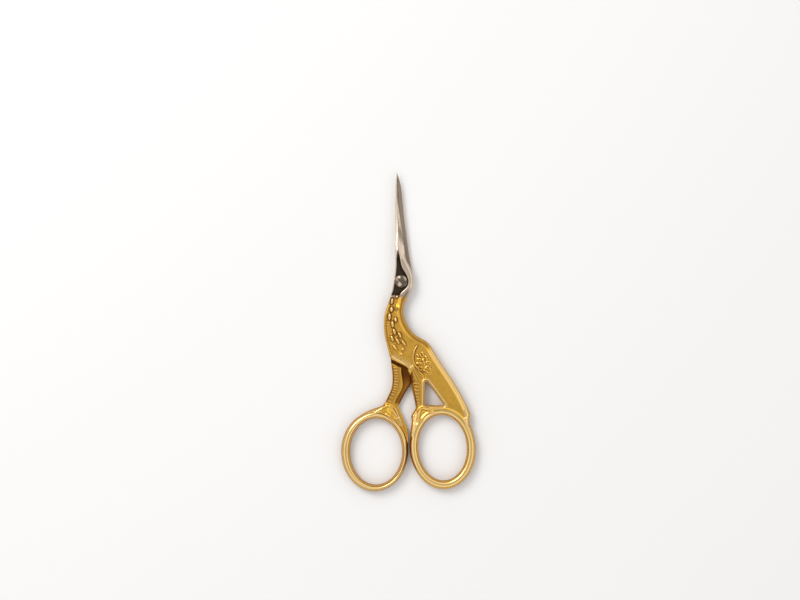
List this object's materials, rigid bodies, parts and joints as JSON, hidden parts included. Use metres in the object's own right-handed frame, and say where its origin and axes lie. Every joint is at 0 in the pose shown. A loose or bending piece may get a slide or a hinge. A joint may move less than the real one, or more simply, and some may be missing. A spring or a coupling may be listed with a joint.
{
  "type": "stork embroidery scissors",
  "caption": "Small needlework scissors shaped as a standing stork: two pivoted forged halves with long pointed blades, carved gold-plated body and two oval finger bows.",
  "frame": {"origin": "on the pivot axis, in the plane of the back that the scissors rest on", "axes": "+Z along the pivot axis towards the screw's head, +Y to the tips, +X to the bow of the front half"},
  "size_m": [0.0387, 0.0917, 0.0039],
  "materials": {
    "gold_plate": "gold plated, polished bows and carved body",
    "polished_steel": "polished"
  },
  "bodies": {
    "rear": {"rear_half": "gold_plate", "pivot_screw": "polished_steel"},
    "front": {"front_half": "gold_plate"}
  },
  "joints": [
    {"name": "scissor_pivot", "type": "hinge", "parent": "rear", "child": "front", "pos_m": [0, 0, 0], "axis": [0, 0, 1], "range_deg": [0, 65]}
  ]
}
